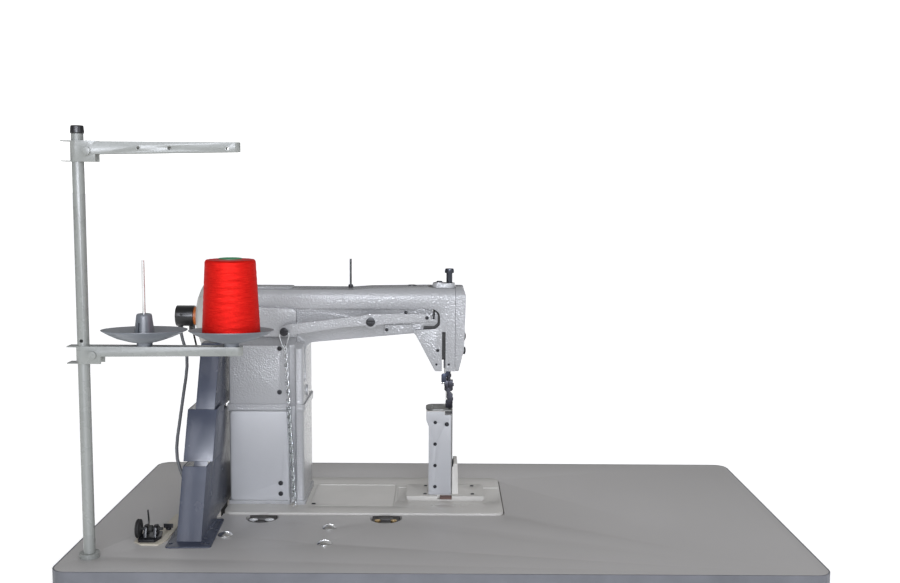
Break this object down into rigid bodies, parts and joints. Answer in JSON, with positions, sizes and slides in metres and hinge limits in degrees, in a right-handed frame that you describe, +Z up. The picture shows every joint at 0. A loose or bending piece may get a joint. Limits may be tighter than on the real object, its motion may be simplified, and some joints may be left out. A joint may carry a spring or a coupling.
{
  "type": "post-bed sewing machine",
  "caption": "Post-bed industrial sewing machine with roller foot, set in a table top with belt guard, bobbin winder and thread stand carrying a cone of thread.",
  "frame": {"origin": "middle of the table board's underside", "axes": "+X along the table towards the needle end, +Y towards the operator, +Z up; the thread stand and the lifting chain are on the -Y side"},
  "size_m": [1.05, 0.55, 0.631],
  "materials": {
    "laminate": "matt grey high-pressure laminate",
    "edge_band": "satin blue-grey edging",
    "machine_paint": "wrinkled light grey enamel",
    "stand_paint": "smooth light grey enamel",
    "guard_paint": "glossy blue-grey enamel",
    "cream_paint": "smooth cream enamel",
    "bright_steel": "bright ground steel",
    "blue_grey_steel": "blued steel",
    "dark_metal": "blackened steel",
    "black_plastic": "moulded black plastic",
    "orange_plastic": "moulded orange plastic",
    "green_plastic": "moulded green plastic",
    "dish_plastic": "moulded blue-grey plastic",
    "clear_sleeve": "clear flexible sleeve",
    "cable_sheath": "grey cable sheath",
    "belt_rubber": "black rubber",
    "red_thread": "wound sewing thread",
    "fibre": "pressed brown fibre"
  },
  "bodies": {
    "root": {"table_board": "laminate", "table_edge_band": "edge_band", "motor_bolts": "bright_steel", "bed_hinges": "dark_metal", "bed_plate": "machine_paint", "bed_cover": "machine_paint", "screws": "dark_metal", "riser_column": "machine_paint", "riser_covers": "machine_paint", "arm_casting": "machine_paint", "arm_covers": "machine_paint", "face_plate": "machine_paint", "tension_discs": "bright_steel", "post_casting": "machine_paint", "post_cover": "machine_paint", "notch_block": "fibre", "needle_plate": "bright_steel", "sync_body": "black_plastic", "sync_ring": "orange_plastic", "sync_cable": "cable_sheath", "v_belt": "belt_rubber", "guard_lower": "guard_paint", "guard_middle": "guard_paint", "guard_upper": "guard_paint", "winder_plate": "cream_paint", "winder_frame": "black_plastic", "stand_pole": "stand_paint", "stand_cap": "black_plastic"},
    "lifter": {"lifter_lever": "machine_paint", "lever_screws": "dark_metal"},
    "lift_chain": {"chain": "bright_steel", "chain_sleeve": "clear_sleeve"},
    "presser": {"presser_bar": "bright_steel", "roller_bracket": "dark_metal"},
    "foot_roller": {"presser_roller": "bright_steel"},
    "presser_knob": {"presser_screw": "dark_metal"},
    "hand_lifter": {"hand_lifter": "blue_grey_steel"},
    "needle_unit": {"needle_bar": "bright_steel", "needle": "bright_steel"},
    "take_up": {"take_up_lever": "bright_steel"},
    "tension_knob": {"tension_nut": "bright_steel"},
    "drive": {"handwheel": "machine_paint", "main_shaft": "bright_steel"},
    "upright": {"upright_shaft": "bright_steel"},
    "lower_drive": {"lower_shaft": "bright_steel"},
    "hook": {"hook_shaft": "bright_steel", "rotating_hook": "bright_steel", "bobbin": "bright_steel"},
    "feed": {"feed_wheel": "bright_steel"},
    "hook_lid": {"bobbin_cover": "dark_metal"},
    "dial": {"stitch_dial": "black_plastic"},
    "reverse": {"reverse_lever": "machine_paint"},
    "winder": {"winder_wheel": "belt_rubber"},
    "winder_stop": {"winder_latch": "dark_metal"},
    "upper_swing": {"upper_arm": "stand_paint"},
    "lower_swing": {"lower_arm": "stand_paint", "spool_dishes": "dish_plastic", "spool_pins": "bright_steel"},
    "cone": {"thread_cone": "red_thread", "cone_core": "green_plastic"}
  },
  "joints": [
    {"name": "main_shaft_turn", "type": "hinge", "parent": "root", "child": "drive", "pos_m": [-0.2, 0.075, 0.34], "axis": [1, 0, 0], "continuous": true},
    {"name": "upright_shaft_turn", "type": "hinge", "parent": "root", "child": "upright", "pos_m": [-0.29, 0.075, 0.14], "axis": [0, 0, 1], "continuous": true},
    {"name": "lower_shaft_turn", "type": "hinge", "parent": "root", "child": "lower_drive", "pos_m": [-0.15, 0.075, 0.019], "axis": [1, 0, 0], "continuous": true},
    {"name": "hook_turn", "type": "hinge", "parent": "root", "child": "hook", "pos_m": [-0.0102, 0.075, 0.1], "axis": [0, 0, 1], "continuous": true},
    {"name": "feed_wheel_turn", "type": "hinge", "parent": "root", "child": "feed", "pos_m": [0.0104, 0.075, 0.1773], "axis": [1, 0, 0], "continuous": true},
    {"name": "lifter_lever_pivot", "type": "hinge", "parent": "root", "child": "lifter", "pos_m": [-0.1154, 0.0155, 0.34], "axis": [0, -1, 0], "range_deg": [0, 4.62]},
    {"name": "chain_pull", "type": "slide", "parent": "root", "child": "lift_chain", "axis": [0.0488, 0, -0.9988], "range_m": [0, 0.01096]},
    {"name": "presser_lift", "type": "slide", "parent": "root", "child": "presser", "axis": [0, 0, 1], "range_m": [0, 0.00801]},
    {"name": "foot_roller_turn", "type": "hinge", "parent": "presser", "child": "foot_roller", "pos_m": [0.0104, 0.075, 0.2041], "axis": [1, 0, 0], "continuous": true},
    {"name": "presser_knob_turn", "type": "hinge", "parent": "root", "child": "presser_knob", "pos_m": [0.0086, 0.06, 0.4], "axis": [0, 0, 1], "continuous": true},
    {"name": "hand_lifter_pivot", "type": "hinge", "parent": "root", "child": "hand_lifter", "pos_m": [0.0062, 0.0455, 0.276], "axis": [0, 1, 0], "range_deg": [0, 17]},
    {"name": "needle_bar_stroke", "type": "slide", "parent": "root", "child": "needle_unit", "axis": [0, 0, -1], "range_m": [0, 0.033]},
    {"name": "take_up_pivot", "type": "hinge", "parent": "root", "child": "take_up", "pos_m": [-0.022, 0.099, 0.336], "axis": [1, 0, 0], "range_deg": [-35, 20]},
    {"name": "tension_nut_turn", "type": "hinge", "parent": "root", "child": "tension_knob", "pos_m": [-0.058, 0.134, 0.346], "axis": [0, 1, 0], "continuous": true},
    {"name": "stitch_dial_turn", "type": "hinge", "parent": "root", "child": "dial", "pos_m": [-0.296, 0.141, 0.265], "axis": [0, 1, 0], "range_deg": [0, 300]},
    {"name": "reverse_lever_pivot", "type": "hinge", "parent": "root", "child": "reverse", "pos_m": [-0.25, 0.119, 0.245], "axis": [1, 0, 0], "range_deg": [-10, 0], "stiffness_Nm_per_rad": 0.4},
    {"name": "hook_lid_slide", "type": "slide", "parent": "root", "child": "hook_lid", "axis": [-1, 0, 0], "range_m": [0, 0.018]},
    {"name": "winder_turn", "type": "hinge", "parent": "root", "child": "winder", "pos_m": [-0.43, -0.145, 0.056], "axis": [1, 0, 0], "continuous": true},
    {"name": "winder_stop_pivot", "type": "hinge", "parent": "root", "child": "winder_stop", "pos_m": [-0.43, -0.131, 0.052], "axis": [1, 0, 0], "range_deg": [-15, 0]},
    {"name": "upper_arm_swing", "type": "hinge", "parent": "root", "child": "upper_swing", "pos_m": [-0.488, -0.2175, 0.601], "axis": [0, 0, 1], "range_deg": [-60, 60]},
    {"name": "lower_arm_swing", "type": "hinge", "parent": "root", "child": "lower_swing", "pos_m": [-0.488, -0.2175, 0.328], "axis": [0, 0, 1], "range_deg": [-60, 25]},
    {"name": "cone_lift", "type": "slide", "parent": "lower_swing", "child": "cone", "axis": [0, 0, 1], "range_m": [0, 0.12]}
  ],
  "couplings": [
    {"joint": "upright_shaft_turn", "follows": "main_shaft_turn", "ratio": -1},
    {"joint": "lower_shaft_turn", "follows": "main_shaft_turn", "ratio": 1},
    {"joint": "hook_turn", "follows": "main_shaft_turn", "ratio": 2},
    {"joint": "chain_pull", "follows": "lifter_lever_pivot", "m_per_rad": 0.136},
    {"joint": "presser_lift", "follows": "lifter_lever_pivot", "m_per_rad": 0.0994}
  ]
}
